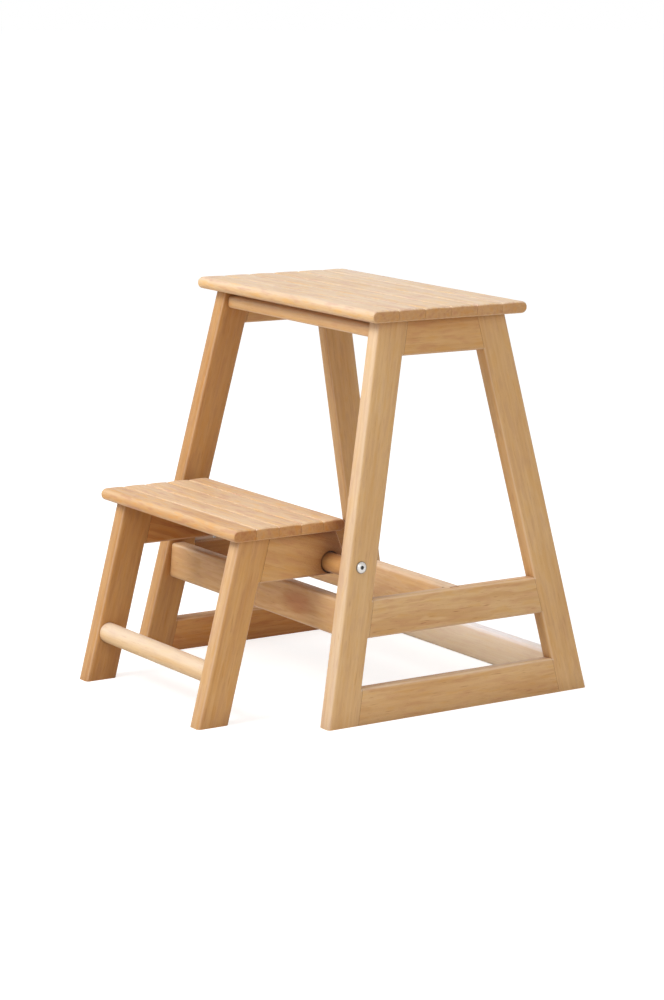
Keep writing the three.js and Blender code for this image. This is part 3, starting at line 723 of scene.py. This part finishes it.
def smooth(piece):
    modifier = piece.modifiers.new("smoothing", "NODES")
    modifier.node_group = SMOOTHING
    return piece


def dress_frame():
    for piece in NODES.values():
        smooth(dress(piece))


def new_piece(name, rings, replaced):
    """A closed skin through rings of as many points each, with flat ends, in place of a node."""
    mesh = bpy.data.meshes.new(name)
    piece = bpy.data.objects.new(name, mesh)
    bpy.context.scene.collection.objects.link(piece)
    skin = bmesh.new()
    loops = [[skin.verts.new(point) for point in ring] for ring in rings]
    for first, second in zip(loops, loops[1:]):
        for index in range(len(first)):
            after = (index + 1) % len(first)
            skin.faces.new((first[index], first[after], second[after], second[index]))
    skin.faces.new(reversed(loops[0]))
    skin.faces.new(loops[-1])
    bmesh.ops.recalc_face_normals(skin, faces=skin.faces)
    skin.to_mesh(mesh)
    skin.free()
    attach(piece, BODY_OF[replaced])
    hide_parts(replaced)
    return smooth(piece)


def rounding(radius, distance):
    """How far a rounded edge has drawn in at a distance from the end of the piece."""
    short = max(radius - distance, 0)
    return radius - math.sqrt(max(radius * radius - short * short, 0))


def slat_section(width, thickness, rounds, insets, crown):
    """A slat's section about its middle, as (y, z) from the low front corner round to the high front one."""
    front_inset, rear_inset, flat_inset = insets
    low, high = flat_inset - thickness / 2, thickness / 2 - flat_inset
    front, rear = front_inset - width / 2, width / 2 - rear_inset
    corners = ((front, low, 1, 1, rounds[0], 2), (rear, low, -1, 1, rounds[1], 3),
               (rear, high, -1, -1, rounds[2], 0), (front, high, 1, -1, rounds[3], 1))
    points = []
    for y, z, inward, upward, radius, quarter in corners:
        radius = max(radius - flat_inset, SLAT_LEAST_ROUND)
        if quarter == 1:
            start, end = points[-1][0], front + radius
            steps = [count / (SLAT_TOP_POINTS + 1) for count in range(1, SLAT_TOP_POINTS + 1)]
            points += [(start + (end - start) * step, high) for step in steps]
        for count in range(ROUND_STEPS + 1):
            angle = (quarter + count / ROUND_STEPS) * math.pi / 2
            points.append((y + radius * (inward + math.cos(angle)), z + radius * (upward + math.sin(angle))))
    return [(y, z - crown * (2 * y / width) ** 2 * max(2 * z / thickness, 0)) for y, z in points]


def slat_stations(length):
    """Where along a slat its sections are: which half each is in, and how far from that half's end."""
    end_steps = [SLAT_END_ROUND * (1 - math.cos(math.pi / 2 * count / ROUND_STEPS))
                 for count in range(ROUND_STEPS)]
    straight = length / 2 - SLAT_END_ROUND
    middle_steps = [SLAT_END_ROUND + straight * count / SLAT_STATIONS for count in range(SLAT_STATIONS)]
    distances = end_steps + middle_steps
    return [(-1, distance) for distance in distances] + [(1, distance) for distance in reversed(distances)]


def wandered(first, second):
    """How far an edge has wandered inwards where its slow and its quick wave stand at these heights."""
    return max(SLAT_WANDER * (1 + first + second / 2) / 2, 0)


def make_slat(name, front_nose, rear_nose):
    """A slat with a crowned top, rounded arrises and ends, and wandering edges swollen to its neighbours."""
    chance = random.Random(name)
    low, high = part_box(name)
    length, width, thickness = high - low
    middle = (low + high) / 2
    noses = (front_nose, rear_nose)
    low_rounds = [SLAT_ROUNDS["nose" if nose else "bottom"] for nose in noses]
    high_rounds = [SLAT_ROUNDS["nose" if nose else "top"] for nose in reversed(noses)]
    corner_rounds = [SLAT_CORNER_ROUND if nose else SLAT_INNER_CORNER_ROUND for nose in noses]
    swells = [0 if nose else SLAT_SWELL for nose in noses]
    crown = SLAT_CROWN + chance.uniform(-1, 1) * SLAT_CROWN_SPREAD
    phases = [chance.uniform(0, 2 * math.pi) for _ in SLAT_WAVES]
    rings = []
    for side, distance in slat_stations(length):
        x = side * (length / 2 - distance)
        waves = [math.sin(x * rate + phase) for rate, phase in zip(SLAT_WAVES, phases)]
        edges = (wandered(*waves[:2]), wandered(*waves[2:]))
        insets = [edge + rounding(radius, distance) - swell
                  for edge, radius, swell in zip(edges, corner_rounds, swells)]
        insets.append(rounding(SLAT_END_ROUND, distance))
        section = slat_section(width, thickness, low_rounds + high_rounds, insets, crown)
        rings.append([(middle.x + x, middle.y + y, middle.z + z) for y, z in section])
    piece = new_piece(f"{name}_board", rings, name)
    piece.data.materials.append(wood_material(piece, name))


def make_slats():
    for row, count in (("seat_slat", SEAT_SLATS), ("step_slat", STEP_SLATS)):
        for index in range(1, count + 1):
            make_slat(f"{row}_{index}", index == 1, index == count)


def hexagon_radius(angle):
    sixth = math.pi / 3
    return SOCKET_HALF_WIDTH / math.cos(angle % sixth - sixth / 2)


def bolt_profile():
    """A bolt's radius and height from the end of its shank, over its head and down to the socket's floor."""
    profile = [
        (SHANK_RADIUS - SHANK_CHAMFER, -SHANK_REACH),
        (SHANK_RADIUS, SHANK_CHAMFER - SHANK_REACH),
        (SHANK_RADIUS, 0),
        (FLANGE_RADIUS - FLANGE_ROUND, 0),
        (FLANGE_RADIUS, FLANGE_ROUND),
        (FLANGE_RADIUS, FLANGE_HEIGHT - FLANGE_ROUND),
        (FLANGE_RADIUS - FLANGE_ROUND / 3, FLANGE_HEIGHT - FLANGE_ROUND / 3),
        (FLANGE_RADIUS - FLANGE_ROUND, FLANGE_HEIGHT),
    ]
    for count in range(DOME_STEPS + 1):
        angle = math.pi / 2 * count / DOME_STEPS
        radius = HEAD_FLAT_RADIUS + (DOME_RADIUS - HEAD_FLAT_RADIUS) * math.cos(angle)
        profile.append((radius, FLANGE_HEIGHT + (HEAD_HEIGHT - FLANGE_HEIGHT) * math.sin(angle)))
    return profile + [
        (SOCKET_MOUTH_RADIUS, HEAD_HEIGHT),
        (hexagon_radius, HEAD_HEIGHT - SOCKET_LEAD),
        (hexagon_radius, HEAD_HEIGHT - SOCKET_DEPTH),
        (SOCKET_HALF_WIDTH / 3, HEAD_HEIGHT - SOCKET_DEPTH - SOCKET_LEAD),
    ]


def make_bolt(name):
    """A bolt with a flanged, domed head and a hexagon socket, along the axis of the bolt that it replaces."""
    cad = NODES[name]
    outward = grain_axes(cad)[1]
    if outward.x * sum(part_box(name), Vector()).x < 0:
        outward = -outward
    points = [vertex.co for vertex in cad.data.vertices]
    reach = max(point.dot(outward) for point in points)
    face = [point for point in points if reach - point.dot(outward) < FACE_TOLERANCE]
    centre = sum(face, Vector()) / len(face)
    seat = centre - outward * HEAD_HEIGHT
    right = outward.cross(Vector((0, 0, 1))).normalized()
    up = right.cross(outward)

    def ring(radius, height):
        radius_at = radius if callable(radius) else lambda angle: radius
        angles = [2 * math.pi * count / BOLT_SIDES for count in range(BOLT_SIDES)]
        return [seat + outward * height + (right * math.cos(angle) + up * math.sin(angle)) * radius_at(angle)
                for angle in angles]

    piece = new_piece(f"{name}_turned", [ring(*pair) for pair in bolt_profile()], name)
    piece.data.materials.append(bolt_material(piece.name, seat, outward))


def make_camera():
    flat = math.cos(CAMERA_PITCH)
    back = Vector((math.sin(CAMERA_AZIMUTH) * flat, -math.cos(CAMERA_AZIMUTH) * flat, math.sin(CAMERA_PITCH)))
    right = Vector((math.cos(CAMERA_AZIMUTH), math.sin(CAMERA_AZIMUTH), 0))
    up = back.cross(right)
    rolled_right = right * math.cos(CAMERA_ROLL) + up * math.sin(CAMERA_ROLL)
    rolled_up = up * math.cos(CAMERA_ROLL) - right * math.sin(CAMERA_ROLL)
    turn = Matrix((rolled_right, rolled_up, back)).transposed().to_4x4()
    camera = bpy.data.objects.new("camera", bpy.data.cameras.new("camera"))
    camera.data.lens = FOCAL_LENGTH
    camera.matrix_world = Matrix.Translation(AIM + back * CAMERA_DISTANCE) @ turn
    bpy.context.scene.collection.objects.link(camera)
    bpy.context.scene.camera = camera


def shown_background(tree):
    """One where the camera, glass or metal looks at the background itself, and zero for its light."""
    path = node(tree, "ShaderNodeLightPath").outputs
    seen = maths(tree, "MAXIMUM", path["Is Camera Ray"], path["Is Glossy Ray"])
    return maths(tree, "MAXIMUM", seen, path["Is Transmission Ray"])


def make_world():
    world = bpy.data.worlds.new("studio")
    world.use_nodes = True
    tree = world.node_tree
    tree.nodes.clear()
    height = parted(tree, node(tree, "ShaderNodeTexCoord").outputs["Generated"])["Z"]
    light = mix(tree, fade(tree, height, LIGHT_RISE), LOW_LIGHT, HIGH_LIGHT)
    colour = mix(tree, shown_background(tree), light, WHITE)
    background = node(tree, "ShaderNodeBackground", {"Color": colour, "Strength": 1.0})
    node(tree, "ShaderNodeOutputWorld", {"Surface": background.outputs[0]})
    bpy.context.scene.world = world


def make_lamp(name, place, size, power):
    light = bpy.data.lights.new(name, "AREA")
    light.shape = "DISK"
    light.size = size
    light.energy = power
    light.color = LAMP_COLOUR
    lamp = bpy.data.objects.new(name, light)
    lamp.location = place
    lamp.rotation_euler = (place - AIM).to_track_quat("Z", "Y").to_euler()
    bpy.context.scene.collection.objects.link(lamp)


def make_floor():
    material, tree = new_material("pale_floor")
    diffuse = node(tree, "ShaderNodeBsdfDiffuse", {"Color": FLOOR_COLOUR})
    strength = maths(tree, "MULTIPLY", shown_background(tree), FLOOR_GLOW)
    glow = node(tree, "ShaderNodeEmission", {"Color": WHITE, "Strength": strength})
    both = node(tree, "ShaderNodeAddShader", {0: diffuse.outputs[0], 1: glow.outputs[0]})
    node(tree, "ShaderNodeOutputMaterial", {"Surface": both.outputs[0]})
    bpy.ops.mesh.primitive_plane_add(size=FLOOR_SIZE)
    floor = bpy.context.object
    floor.name = "floor"
    floor.data.materials.append(material)


make_camera()
make_world()
make_lamp("key", KEY_PLACE, KEY_SIZE, KEY_POWER)
make_lamp("left", LEFT_PLACE, LEFT_SIZE, LEFT_POWER)
make_lamp("right", RIGHT_PLACE, RIGHT_SIZE, RIGHT_POWER)
make_floor()
dress_frame()
make_slats()
make_bolt("pivot_bolt_left")
make_bolt("pivot_bolt_right")
bpy.context.scene.view_settings.view_transform = "Standard"
